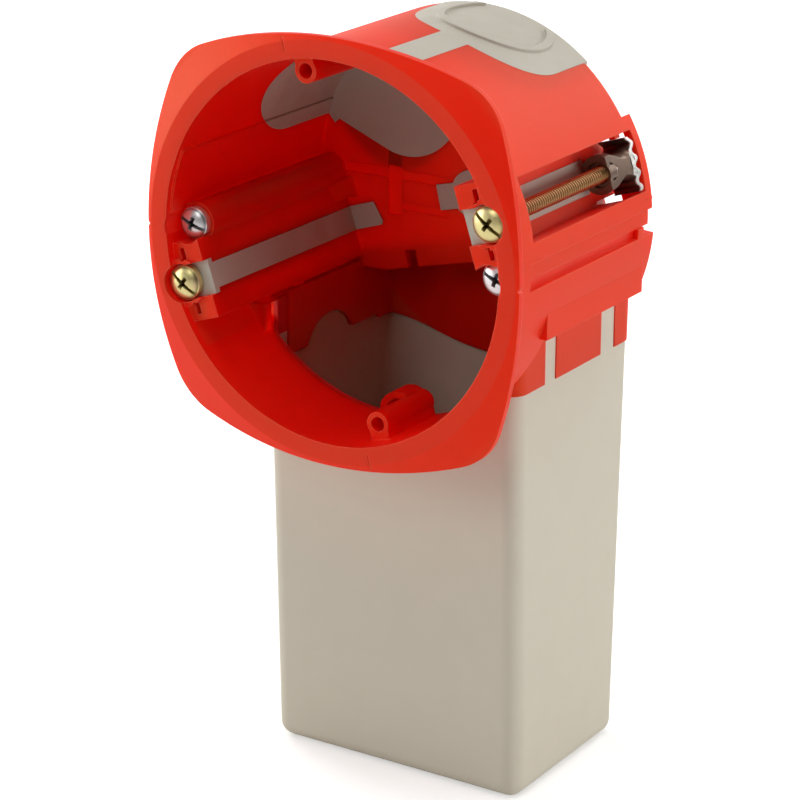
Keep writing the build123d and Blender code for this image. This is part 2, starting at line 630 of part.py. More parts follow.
def make_claw():
    """Sheet steel claw: threaded collar, waisted neck and corrugated lip."""
    neck = Pos(CLAW_SCREW_R, 0, 0) * (claw_neck(0) - claw_neck(CLAW_SHEET))
    neck &= block(CLAW_LIP_INNER, 40, 0, 60, -10, 10)
    neck &= along_y(Circle(TUBE_R - CLAW_GAP - CLAW_BACK), 0, 60)
    core = along_y(Pos(CLAW_SCREW_R, 0) * Circle(CLAW_WAIST_R - 0.1), CLAW_COLLAR_Y + 0.1,
                   CLAW_COLLAR_Y + CLAW_THREAD_LENGTH)
    lip = claw_lip() & along_y(Circle(TUBE_R - CLAW_GAP), 0, 60)
    claw = neck + core + lip
    hole = Pos(CLAW_SCREW_R, 0) * Circle(THREAD_R + HOLE_CLEARANCE)
    free = Pos(CLAW_SCREW_R, 0) * Circle(THREAD_R + HOLE_CLEARANCE + 0.2)
    dish = Pos(CLAW_SCREW_R, 0) * Circle(CLAW_WAIST_R - 0.15)
    claw -= along_y(hole, 0, 60)
    claw -= along_y(free, CLAW_COLLAR_Y + CLAW_THREAD_LENGTH, 60)
    claw -= along_y(dish, 0, CLAW_COLLAR_Y + 0.5)
    return radial(biggest(claw))


def mouth_cut():
    """Round way from the tube through the front wall of the pouch."""
    return along_y(Circle(BORE_R), -1, pouch_front(POUCH_TOP) + POUCH_WALL + 1.5)


def make_pouch(shell):
    outer = pouch_prism(POUCH_BOTTOM, COLLAR_LOW_Z, 0)
    floor_edges = outer.edges().group_by(Axis.Z)[0]
    outer = fillet(floor_edges, POUCH_EDGE_R - 0.2)
    cavity = pouch_prism(POUCH_BOTTOM + POUCH_WALL, COLLAR_LOW_Z + 1, -POUCH_WALL)
    return biggest(outer - cavity - shell - mouth_cut())


def main():
    raw = box_shell_raw()
    membrane = membrane_body(along_y(Circle(TUBE_R), 0, TUBE_DEPTH)) + membrane_ridges()
    x, z = empty_boss_places()[0]
    membrane -= screw_boss(x, z, EMPTY_BOSS_R, EMPTY_BOSS_START, EMPTY_BOSS_END)
    seal = seal_body()
    seals = [seal, half_turn(seal)]
    disc = rear_disc()
    shell = raw + (tab_blocks() - mouth_cut())
    for soft in [membrane, disc] + seals:
        shell = shell - soft
    shell = biggest(shell)
    pouch = make_pouch(shell)

    device = make_screw(DEVICE_HEAD_R, DEVICE_HEAD_Y, DEVICE_SCREW_LENGTH, DEVICE_TURN)
    device = Pos(DEVICE_SCREW_X, 0, 0) * device
    reach = CLAW_COLLAR_Y + CLAW_THREAD_LENGTH - CLAW_HEAD_Y - HEAD_THICK
    claw_screw = make_screw(CLAW_HEAD_R, CLAW_HEAD_Y, reach, CLAW_TURN + CLAW_ANGLE)
    claw_screw = radial(Pos(CLAW_SCREW_R, 0, 0) * claw_screw)
    claw = make_claw()

    parts = {
        "box_shell": shell,
        "electronics_pouch": pouch,
        "cable_membrane": tidy(membrane),
        "right_claw_seal": tidy(seals[0]),
        "left_claw_seal": tidy(seals[1]),
        "rear_seal_disc": tidy(disc),
        "right_device_screw": device,
        "left_device_screw": half_turn(device),
        "right_claw_screw": claw_screw,
        "left_claw_screw": half_turn(claw_screw),
        "right_claw": claw,
        "left_claw": half_turn(claw),
    }
    for name, part in parts.items():
        export_step(part, "parts/" + name + ".step")
        print(name, round(part.volume, 1), "solids", len(part.solids()))


main()
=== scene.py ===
import logging
import math
from dataclasses import dataclass, field
from enum import Enum
from typing import Callable, Dict, List, Optional, Sequence, Tuple

import bmesh
import bpy
from mathutils import Matrix, Vector


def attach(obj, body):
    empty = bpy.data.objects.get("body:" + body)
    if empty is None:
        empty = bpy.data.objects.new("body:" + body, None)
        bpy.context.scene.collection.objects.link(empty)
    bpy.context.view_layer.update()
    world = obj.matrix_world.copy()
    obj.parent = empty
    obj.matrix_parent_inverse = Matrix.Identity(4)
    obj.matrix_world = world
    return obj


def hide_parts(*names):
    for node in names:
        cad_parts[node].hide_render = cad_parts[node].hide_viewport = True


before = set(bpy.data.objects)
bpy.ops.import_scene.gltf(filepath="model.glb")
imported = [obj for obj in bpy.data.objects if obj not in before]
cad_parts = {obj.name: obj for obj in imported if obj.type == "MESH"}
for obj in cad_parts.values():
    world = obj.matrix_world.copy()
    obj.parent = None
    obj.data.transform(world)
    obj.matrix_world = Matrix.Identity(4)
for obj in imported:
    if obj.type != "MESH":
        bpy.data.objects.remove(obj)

log = logging.getLogger("back_box")
logging.basicConfig(level=logging.INFO, format="%(message)s")

MM = 0.001
TINY = 1e-6
WHITE = (1.0, 1.0, 1.0, 1.0)
MIX_MASK, MIX_FIRST, MIX_SECOND, MIX_RESULT = 0, 6, 7, 2
Colour = Tuple[float, float, float]
Point = Tuple[float, float, float]
Socket = bpy.types.NodeSocket


class Side(Enum):
    """Side of the box, seen from the room."""

    RIGHT = 1
    LEFT = -1

    @property
    def word(self) -> str:
        """Name used in node and body names."""
        return self.name.lower()


class Plating(Enum):
    """Finish of a screw."""

    BRIGHT = "bright_zinc"
    YELLOW = "yellow_zinc"


class Graph:
    """Node tree of a material or a group, with short ways to add and join nodes."""

    def __init__(self, tree: bpy.types.NodeTree) -> None:
        """Keep the tree.

        Args:
            tree: Node tree to fill.
        """
        self.tree = tree

    def add(self, kind: str, **settings: object) -> bpy.types.Node:
        """Add a node.

        Args:
            kind: Type name of the node.
            settings: Properties to set on it.

        Returns:
            The new node.
        """
        node = self.tree.nodes.new(kind)
        for name, value in settings.items():
            setattr(node, name, value)
        return node

    def join(self, source: Socket, target: Socket) -> None:
        """Link an output to an input."""
        self.tree.links.new(source, target)

    def math(self, operation: str, first: object, second: object = 0.0) -> Socket:
        """Add a math node.

        Args:
            operation: Name of the operation.
            first: Number or socket.
            second: Number or socket.

        Returns:
            The result's socket.
        """
        node = self.add("ShaderNodeMath", operation=operation)
        for socket, value in zip(node.inputs, (first, second)):
            if isinstance(value, Socket):
                self.join(value, socket)
            else:
                socket.default_value = value
        return node.outputs[0]

    def ramp(self, value: Socket, low: object, high: object,
             start: object = 0.0, end: object = 1.0) -> Socket:
        """Map a value from one range to another, clamped and smooth.

        Args:
            value: Value to map.
            low: Value that gives start.
            high: Value that gives end.
            start: Result at low.
            end: Result at high.

        Returns:
            The result's socket.
        """
        node = self.add("ShaderNodeMapRange", interpolation_type="SMOOTHSTEP")
        self.join(value, node.inputs["Value"])
        for name, limit in (("From Min", low), ("From Max", high),
                            ("To Min", start), ("To Max", end)):
            if isinstance(limit, Socket):
                self.join(limit, node.inputs[name])
            else:
                node.inputs[name].default_value = limit
        return node.outputs["Result"]

    def blend(self, mask: Socket, first: object,
              second: object) -> Socket:
        """Mix two colours by a mask.

        Args:
            mask: 0 gives the first colour and 1 the second.
            first: Colour or socket.
            second: Colour or socket.

        Returns:
            The mixed colour's socket.
        """
        node = self.add("ShaderNodeMix", data_type="RGBA")
        self.join(mask, node.inputs[MIX_MASK])
        for number, value in ((MIX_FIRST, first), (MIX_SECOND, second)):
            socket = node.inputs[number]
            if isinstance(value, Socket):
                self.join(value, socket)
            else:
                socket.default_value = (*value, 1.0)
        return node.outputs[MIX_RESULT]

    def place(self) -> Socket:
        """Object coordinates, which are those of the CAD frame."""
        return self.add("ShaderNodeTexCoord").outputs["Object"]

    def axes(self) -> Dict[str, Socket]:
        """Split the object coordinates.

        Returns:
            The sockets of X, Y and Z by name.
        """
        split = self.add("ShaderNodeSeparateXYZ")
        self.join(self.place(), split.inputs[0])
        return {axis: split.outputs[axis] for axis in "XYZ"}

    def axis_distance(self) -> Socket:
        """Distance of each point from the tube's axis, which is Y.

        Returns:
            The distance's socket.
        """
        flat = self.add("ShaderNodeVectorMath", operation="MULTIPLY")
        flat.inputs[1].default_value = (1.0, 0.0, 1.0)
        size = self.add("ShaderNodeVectorMath", operation="LENGTH")
        self.join(self.place(), flat.inputs[0])
        self.join(flat.outputs[0], size.inputs[0])
        return size.outputs["Value"]

    def noise(self, scale: object, detail: float = 2.0,
              stretch: Point = (1.0, 1.0, 1.0)) -> Socket:
        """Noise over the object's own coordinates.

        Args:
            scale: Number or socket, waves a metre.
            detail: Octaves.
            stretch: Scale of each axis.

        Returns:
            The noise value's socket.
        """
        turn = self.add("ShaderNodeMapping")
        turn.inputs["Scale"].default_value = stretch
        self.join(self.place(), turn.inputs["Vector"])
        node = self.add("ShaderNodeTexNoise")
        node.inputs["Detail"].default_value = detail
        self.join(turn.outputs["Vector"], node.inputs["Vector"])
        if isinstance(scale, Socket):
            self.join(scale, node.inputs["Scale"])
        else:
            node.inputs["Scale"].default_value = scale
        return node.outputs["Fac"]

    def bump(self, height: Socket, depth: float, normal: Optional[Socket] = None) -> Socket:
        """Raise the surface by a height.

        Args:
            height: Height from 0 to 1.
            depth: Real height of 1, in metres.
            normal: Normal to start from, if not the surface's own.

        Returns:
            The changed normal's socket.
        """
        node = self.add("ShaderNodeBump")
        node.inputs["Strength"].default_value = 1.0
        node.inputs["Distance"].default_value = depth
        self.join(height, node.inputs["Height"])
        if normal is not None:
            self.join(normal, node.inputs["Normal"])
        return node.outputs["Normal"]

    def effect(self, tree: bpy.types.NodeTree, **values: float) -> bpy.types.Node:
        """Place a shared effect.

        Args:
            tree: Group to place.
            values: Input values by name.

        Returns:
            The group node.
        """
        node = self.add("ShaderNodeGroup", node_tree=tree)
        for label, value in values.items():
            node.inputs[label].default_value = value
        return node


class Effects:
    """Shader node groups that several finishes share, each built once."""

    def __init__(self) -> None:
        """Start with no group built."""
        self.built: Dict[str, bpy.types.NodeTree] = {}

    def _group(self, name: str, inputs: Dict[str, float], outputs: Sequence[str],
               fill: Callable[[Graph, bpy.types.Node, bpy.types.Node], None]
               ) -> bpy.types.NodeTree:
        """Build a group of float sockets once.

        Args:
            name: Group name.
            inputs: Input names with their usual values.
            outputs: Output names.
            fill: Function that adds the nodes between input and output.

        Returns:
            The group's node tree.
        """
        if name in self.built:
            return self.built[name]
        tree = bpy.data.node_groups.new(name, "ShaderNodeTree")
        for label, value in inputs.items():
            socket = tree.interface.new_socket(label, in_out="INPUT",
                                               socket_type="NodeSocketFloat")
            socket.default_value = value
        for label in outputs:
            tree.interface.new_socket(label, in_out="OUTPUT", socket_type="NodeSocketFloat")
        graph = Graph(tree)
        fill(graph, graph.add("NodeGroupInput"), graph.add("NodeGroupOutput"))
        self.built[name] = tree
        return tree

    def mould_grain(self) -> bpy.types.NodeTree:
        """Fine grain and slow unevenness of a moulded surface."""

        def fill(graph: Graph, start: bpy.types.Node, end: bpy.types.Node) -> None:
            """Grain at the given scale, and a slow mottle.

            Args:
                graph: Group graph.
                start: Input node.
                end: Output node.
            """
            fine = graph.noise(start.outputs["Scale"], 3.0)
            coarse = graph.noise(graph.math("MULTIPLY", start.outputs["Scale"], 0.06), 2.0)
            graph.join(fine, end.inputs["Grain"])
            graph.join(graph.ramp(coarse, 0.35, 0.65), end.inputs["Mottle"])

        return self._group("mould_grain", {"Scale": 2500.0}, ("Grain", "Mottle"), fill)

    def radial_band(self) -> bpy.types.NodeTree:
        """Mask of a ring between two radii about the tube's axis."""

        def fill(graph: Graph, start: bpy.types.Node, end: bpy.types.Node) -> None:
            """Mask from the distance to the tube's axis.

            Args:
                graph: Group graph.
                start: Input node.
                end: Output node.
            """
            radius = graph.axis_distance()
            soft = start.outputs["Softness"]
            inner = start.outputs["Inner"]
            outer = start.outputs["Outer"]
            rise = graph.ramp(radius, inner, graph.math("ADD", inner, soft))
            fall = graph.ramp(radius, graph.math("SUBTRACT", outer, soft), outer, 1.0, 0.0)
            graph.join(graph.math("MULTIPLY", rise, fall), end.inputs["Mask"])

        return self._group("radial_band", {"Inner": 0.0327, "Outer": 0.0358,
                                           "Softness": 0.0003}, ("Mask",), fill)

    def soft_edges(self) -> bpy.types.NodeTree:
        """Rounded shading of sharp edges, and a mask of where they are."""

        def fill(graph: Graph, start: bpy.types.Node, end: bpy.types.Node) -> None:
            """Compare the rounded normal with the true one.

            Args:
                graph: Group graph.
                start: Input node.
                end: Output node.
            """
            tree = graph.tree
            tree.interface.new_socket("Normal", in_out="OUTPUT", socket_type="NodeSocketVector")
            round_normal = graph.add("ShaderNodeBevel", samples=4)
            graph.join(start.outputs["Radius"], round_normal.inputs["Radius"])
            true_normal = graph.add("ShaderNodeNewGeometry")
            same = graph.add("ShaderNodeVectorMath", operation="DOT_PRODUCT")
            graph.join(round_normal.outputs["Normal"], same.inputs[0])
            graph.join(true_normal.outputs["Normal"], same.inputs[1])
            graph.join(graph.ramp(same.outputs["Value"], 0.8, 0.99, 1.0, 0.0),
                       end.inputs["Edge"])
            graph.join(round_normal.outputs["Normal"], end.inputs["Normal"])

        return self._group("soft_edges", {"Radius": 0.0002}, ("Edge",), fill)

    def scuffs(self) -> bpy.types.NodeTree:
        """Fine scratches and handling marks on metal."""

        def fill(graph: Graph, start: bpy.types.Node, end: bpy.types.Node) -> None:
            """Streaks along one way and small blotches.

            Args:
                graph: Group graph.
                start: Input node.
                end: Output node.
            """
            streaks = graph.noise(start.outputs["Scale"], 4.0, (1.0, 0.12, 1.0))
            blotches = graph.noise(graph.math("MULTIPLY", start.outputs["Scale"], 0.25), 3.0)
            graph.join(graph.ramp(streaks, 0.42, 0.68), end.inputs["Streaks"])
            graph.join(graph.ramp(blotches, 0.35, 0.7), end.inputs["Blotches"])

        return self._group("scuffs", {"Scale": 2600.0}, ("Streaks", "Blotches"), fill)


EFFECTS = Effects()


@dataclass(frozen=True)
class Finish:
    """Base of a procedural finish: a material with one Principled shader."""

    name: str
    colour: Colour
    roughness: float = 0.5
    shine: Colour = (1.0, 1.0, 1.0)

    def start(self) -> Tuple[bpy.types.Material, Graph, bpy.types.Node]:
        """Make the material and its shader.

        Returns:
            The material, its graph and the Principled node.
        """
        made = bpy.data.materials.new(self.name)
        made.use_nodes = True
        made.diffuse_color = (*self.colour, 1.0)
        made.node_tree.nodes.clear()
        graph = Graph(made.node_tree)
        shader = graph.add("ShaderNodeBsdfPrincipled")
        output = graph.add("ShaderNodeOutputMaterial")
        graph.join(shader.outputs["BSDF"], output.inputs["Surface"])
        shader.inputs["Base Color"].default_value = (*self.colour, 1.0)
        shader.inputs["Roughness"].default_value = self.roughness
        shader.inputs["Specular Tint"].default_value = (*self.shine, 1.0)
        return made, graph, shader


@dataclass(frozen=True)
class MouldedPlastic(Finish):
    """Moulded plastic with fine grain, slow unevenness of tone and paler edges painted as
    highlights.

    The lip is the cut edge of the pouch's wall in the opening, coloured like the shell.
    """

    second: Colour = (0.5, 0.5, 0.5)
    edge_highlight: Colour = (0.7, 0.7, 0.7)
    edge_radius: float = 0.00025
    grain_scale: float = 2500.0
    grain_depth: float = 0.000012
    swell_scale: float = 0.0
    swell_depth: float = 0.0003
    lip_colour: Colour = (0.70, 0.006, 0.003)
    lip_radius: float = 0.0
    lip_half: float = 0.0255
    lip_depth: float = 0.047
    lip_soft: float = 0.0001
    edge_share: float = 0.6
    rough_spread: float = 0.05

    def build(self) -> bpy.types.Material:
        """Make the material.

        Returns:
            The material.
        """
        made, graph, shader = self.start()
        grain = graph.effect(EFFECTS.mould_grain(), Scale=self.grain_scale)
        edges = graph.effect(EFFECTS.soft_edges(), Radius=self.edge_radius)
        tone = graph.blend(grain.outputs["Mottle"], self.colour, self.second)
        # Paler edges are a painted highlight.
        faint = graph.math("MULTIPLY", edges.outputs["Edge"], self.edge_share)
        tone = graph.blend(faint, tone, self.edge_highlight)
        if self.lip_radius:
            lip = graph.effect(EFFECTS.radial_band(), Inner=-0.001,
                              Outer=self.lip_radius, Softness=self.lip_soft)
            axes = graph.axes()
            across = graph.math("ABSOLUTE", axes["X"])
            within = graph.ramp(across, self.lip_half, self.lip_half + self.lip_soft,
                                1.0, 0.0)
            ahead = graph.ramp(axes["Y"], self.lip_depth, self.lip_depth + self.lip_soft,
                               1.0, 0.0)
            mask = graph.math("MULTIPLY", lip.outputs["Mask"],
                              graph.math("MULTIPLY", within, ahead))
            tone = graph.blend(mask, tone, self.lip_colour)
        graph.join(tone, shader.inputs["Base Color"])
        rough = graph.ramp(grain.outputs["Grain"], 0.3, 0.7,
                           self.roughness - self.rough_spread,
                           self.roughness + self.rough_spread)
        graph.join(rough, shader.inputs["Roughness"])
        normal = edges.outputs["Normal"]
        if self.swell_scale:
            normal = graph.bump(graph.noise(self.swell_scale, 1.0), self.swell_depth,
                               normal)
        normal = graph.bump(grain.outputs["Grain"], self.grain_depth, normal)
        graph.join(normal, shader.inputs["Normal"])
        return made


@dataclass(frozen=True)
class ShellPlastic(Finish):
    """Orange-red box plastic: glossy and deep inside; a matt ring band on the flange whose
    darker colour is painted shade; matt outer faces whose paler colour is painted sheen; paler
    edges painted as highlights.
    """

    second: Colour = (0.90, 0.004, 0.002)
    band_shade_colour: Colour = (0.78, 0.016, 0.009)
    edge_highlight: Colour = (0.92, 0.20, 0.13)
    outer_sheen_colour: Colour = (0.86, 0.026, 0.010)
    band_inner: float = 0.0325
    band_outer: float = 0.0360
    front_depth: float = 0.0009
    glow: float = 0.7
    glow_depth: float = 0.0025
    glow_radius: Colour = (1.0, 0.03, 0.02)
    tube_skin: Tuple[float, float] = (0.0331, 0.0334)
    collar_side: Tuple[float, float] = (0.0255, 0.0257)
    collar_top: Tuple[float, float] = (-0.0125, -0.0120)
    collar_rear: Tuple[float, float] = (0.0576, 0.0579)
    flange_back: Tuple[float, float] = (0.0011, 0.0016)
    edge_reach: Tuple[float, float] = (0.006, 0.012)
    front_edge_share: float = 0.75
    skin_edge_share: float = 0.5
    matt_gain: float = 0.14

    def outside(self, graph: Graph, axes: Dict[str, Socket]) -> Socket:
        """Mask of the tube's and the collar's outer faces, behind the flange, which are matt
        and get a paler colour painted as sheen.

        Args:
            graph: Material graph.
            axes: Object coordinates.

        Returns:
            The mask's socket.
        """
        tube = graph.ramp(graph.axis_distance(), *self.tube_skin)
        wide = graph.ramp(graph.math("ABSOLUTE", axes["X"]), *self.collar_side)
        low = graph.ramp(axes["Z"], *self.collar_top, 1.0, 0.0)
        rear = graph.ramp(axes["Y"], *self.collar_rear)
        sides = graph.math("MAXIMUM", graph.math("MULTIPLY", wide, low), rear)
        behind = graph.ramp(axes["Y"], *self.flange_back)
        return graph.math("MULTIPLY", graph.math("MAXIMUM", tube, sides), behind)

    def build(self) -> bpy.types.Material:
        """Make the material.

        Returns:
            The material.
        """
        made, graph, shader = self.start()
        shader.inputs["Subsurface Weight"].default_value = self.glow
        shader.inputs["Subsurface Radius"].default_value = self.glow_radius
        shader.inputs["Subsurface Scale"].default_value = self.glow_depth
        grain = graph.effect(EFFECTS.mould_grain(), Scale=2200.0)
        edges = graph.effect(EFFECTS.soft_edges(), Radius=0.00022)
        tone = graph.blend(grain.outputs["Mottle"], self.colour, self.second)
        band = graph.effect(EFFECTS.radial_band(), Inner=self.band_inner,
                           Outer=self.band_outer, Softness=0.0004)
        axes = graph.axes()
        front = graph.ramp(axes["Y"], self.front_depth * 0.5, self.front_depth, 1.0, 0.0)
        # Ring band on the flange's front: its darker colour is painted shade, its higher
        # roughness is a matt finish.
        mask = graph.math("MULTIPLY", band.outputs["Mask"], front)
        skin = self.outside(graph, axes)
        # Outer faces get a paler colour, which is painted sheen.
        dressed = graph.blend(skin, graph.blend(mask, tone, self.band_shade_colour),
                              self.outer_sheen_colour)
        # Edges near the opening and on the outer faces are painted paler as highlights.
        open_edge = graph.ramp(axes["Y"], *self.edge_reach, self.front_edge_share, 0.0)
        skin_edge = graph.math("MULTIPLY", skin, self.skin_edge_share)
        rim = graph.math("MULTIPLY", edges.outputs["Edge"],
                         graph.math("MAXIMUM", open_edge, skin_edge))
        graph.join(graph.blend(rim, dressed, self.edge_highlight), shader.inputs["Base Color"])
        matt = graph.math("MAXIMUM", mask, skin)
        rough = graph.ramp(matt, 0.0, 1.0, self.roughness, self.roughness + self.matt_gain)
        graph.join(rough, shader.inputs["Roughness"])
        normal = graph.bump(grain.outputs["Grain"], 0.00001, edges.outputs["Normal"])
        graph.join(normal, shader.inputs["Normal"])
        return made


@dataclass(frozen=True)
class PlatedMetal(Finish):
    """Plated steel with slow changes of tint, fine scratches, painted shade in the recess and
    thread grooves, and painted shade on the shank inside the box.
    """

    tint: Colour = (0.6, 0.6, 0.6)
    third: Colour = (0.6, 0.6, 0.6)
    groove_shade: Colour = (0.1, 0.1, 0.1)
    shank: Colour = (0.6, 0.6, 0.6)
    shank_shade_depth: float = 0.0075
    metal: float = 0.85
    scale: float = 2600.0
    third_scale: float = 260.0
    third_share: float = 0.7
    groove_shade_share: float = 0.96
    scratch_depth: float = 0.0000015

    def build(self) -> bpy.types.Material:
        """Make the material.

        Returns:
            The material.
        """
        made, graph, shader = self.start()
        shader.inputs["Metallic"].default_value = self.metal
        marks = graph.effect(EFFECTS.scuffs(), Scale=self.scale)
        tinted = graph.blend(marks.outputs["Blotches"], self.colour, self.tint)
        slow = graph.ramp(graph.noise(self.third_scale, 1.0), 0.5, 0.72,
                          0.0, self.third_share)
        tinted = graph.blend(slow, tinted, self.third)
        # The shank inside the box wall is painted darker, as the wall's shade.
        below = graph.ramp(graph.axes()["Y"], self.shank_shade_depth - MM, self.shank_shade_depth)
        tinted = graph.blend(below, tinted, self.shank)
        # Painted shade in the recess and the thread grooves, darker the deeper.
        depth = graph.add("ShaderNodeAttribute", attribute_name="groove_shade")
        dark = graph.ramp(depth.outputs["Fac"], 0.05, 0.7, 0.0, self.groove_shade_share)
        graph.join(graph.blend(dark, tinted, self.groove_shade), shader.inputs["Base Color"])
        rough = graph.ramp(marks.outputs["Streaks"], 0.0, 1.0, self.roughness - 0.04,
                           self.roughness + 0.06)
        graph.join(rough, shader.inputs["Roughness"])
        normal = graph.bump(marks.outputs["Streaks"], self.scratch_depth)
        graph.join(normal, shader.inputs["Normal"])
        return made


@dataclass(frozen=True)
class ClawSteel(Finish):
    """Dark oiled sheet steel whose cut edge by the tube wall is bright."""

    worn: Colour = (0.80, 0.79, 0.75)
    second: Colour = (0.22, 0.14, 0.10)
    metal: float = 0.75
    edge_radius: float = 0.03335
    edge_depth: float = 0.0451
    scratch_depth: float = 0.000002

    def build(self) -> bpy.types.Material:
        """Make the material.

        Returns:
            The material.
        """
        made, graph, shader = self.start()
        shader.inputs["Metallic"].default_value = self.metal
        marks = graph.effect(EFFECTS.scuffs(), Scale=900.0)
        edges = graph.effect(EFFECTS.soft_edges(), Radius=0.00025)
        ring = graph.effect(EFFECTS.radial_band(), Inner=self.edge_radius,
                           Outer=0.04, Softness=0.0002)
        rear = graph.ramp(graph.axes()["Y"], self.edge_depth - 0.0003, self.edge_depth)
        bright = graph.math("MULTIPLY", ring.outputs["Mask"], rear)
        dark = graph.blend(marks.outputs["Blotches"], self.colour, self.second)
        graph.join(graph.blend(bright, dark, self.worn), shader.inputs["Base Color"])
        rough = graph.ramp(marks.outputs["Streaks"], 0.0, 1.0, self.roughness - 0.04,
                           self.roughness + 0.08)
        graph.join(rough, shader.inputs["Roughness"])
        normal = graph.bump(marks.outputs["Streaks"], self.scratch_depth,
                           edges.outputs["Normal"])
        graph.join(normal, shader.inputs["Normal"])
        return made


class Bench:
    """Modelling steps with Blender's own operators."""

    @staticmethod
    def clear() -> None:
        """Deselect everything."""
        if bpy.context.object and bpy.context.object.mode != "OBJECT":
            bpy.ops.object.mode_set(mode="OBJECT")
        bpy.ops.object.select_all(action="DESELECT")

    @staticmethod
    def take(piece: bpy.types.Object) -> None:
        """Select one object only and make it the active one.

        Args:
            piece: Object to select.
        """
        Bench.clear()
        piece.select_set(True)
        bpy.context.view_layer.objects.active = piece

    @staticmethod
    def name(label: str) -> bpy.types.Object:
        """Name the object just added.

        Args:
            label: Object and mesh name.

        Returns:
            The object.
        """
        piece = bpy.context.object
        piece.name = label
        piece.data.name = label
        return piece

    @staticmethod
    def edit(piece: bpy.types.Object) -> None:
        """Enter edit mode on one object with nothing selected.

        Args:
            piece: Object to edit.
        """
        Bench.take(piece)
        bpy.ops.object.mode_set(mode="EDIT")
        bpy.ops.mesh.select_all(action="DESELECT")

    @staticmethod
    def pick_faces(piece: bpy.types.Object,
                   test: Callable[[Vector, Vector], bool]) -> None:
        """Select the faces that pass a test.

        Args:
            piece: Object in edit mode.
            test: Function of a face's centre and normal.
        """
        bpy.ops.mesh.select_mode(type="FACE")
        mesh = bmesh.from_edit_mesh(piece.data)
        for face in mesh.faces:
            face.select_set(test(face.calc_center_median(), face.normal))
        bmesh.update_edit_mesh(piece.data)

    @staticmethod
    def pick_edges(piece: bpy.types.Object,
                   test: Callable[[Vector, Vector], bool]) -> None:
        """Select the edges whose two ends pass a test.

        Args:
            piece: Object in edit mode.
            test: Function of an edge's two ends.
        """
        bpy.ops.mesh.select_mode(type="EDGE")
        mesh = bmesh.from_edit_mesh(piece.data)
        for edge in mesh.edges:
            edge.select_set(test(edge.verts[0].co, edge.verts[1].co))
        bmesh.update_edit_mesh(piece.data)

    @staticmethod
    def done() -> None:
        """Leave edit mode."""
        bpy.ops.object.mode_set(mode="OBJECT")

    @staticmethod
    def modify(piece: bpy.types.Object, kind: str, **settings: object) -> None:
        """Add a modifier and apply it.

        Args:
            piece: Object to change.
            kind: Modifier type.
            settings: Modifier properties.
        """
        Bench.take(piece)
        modifier = piece.modifiers.new(kind.lower(), kind)
        for name, value in settings.items():
            setattr(modifier, name, value)
        bpy.ops.object.modifier_apply(modifier=modifier.name)

    @staticmethod
    def fuse(target: bpy.types.Object, others: Sequence[bpy.types.Object]) -> None:
        """Join objects into one mesh.

        Args:
            target: Object that stays.
            others: Objects that go into it.
        """
        Bench.take(target)
        for other in others:
            other.select_set(True)
        bpy.ops.object.join()

    @staticmethod
    def cut(target: bpy.types.Object, cutter: bpy.types.Object) -> None:
        """Cut one object out of another and drop the cutter.

        Args:
            target: Object to cut.
            cutter: Closed object to take away.
        """
        Bench.modify(target, "BOOLEAN", operation="DIFFERENCE", object=cutter,
                     solver="EXACT")
        bpy.data.objects.remove(cutter, do_unlink=True)

    @staticmethod
    def settle(piece: bpy.types.Object, matrix: Matrix) -> None:
        """Put the mesh in its place and leave the object at the origin.

        Args:
            piece: Object to place.
            matrix: Place of the mesh.
        """
        piece.data.transform(matrix)
        piece.data.update()
        piece.matrix_world = Matrix.Identity(4)

    @staticmethod
    def smooth(piece: bpy.types.Object, degrees: float = 32.0) -> None:
        """Shade smooth up to an angle."""
        Bench.take(piece)
        bpy.ops.object.shade_smooth_by_angle(angle=math.radians(degrees))

    @staticmethod
    def outward(piece: bpy.types.Object, merge: float = 1e-7) -> None:
        """Merge doubles and turn the faces outwards.

        Args:
            piece: Object to clean.
            merge: Distance under which points become one.
        """
        Bench.edit(piece)
        bpy.ops.mesh.select_all(action="SELECT")
        bpy.ops.mesh.remove_doubles(threshold=merge)
        bpy.ops.mesh.normals_make_consistent(inside=False)
        Bench.done()


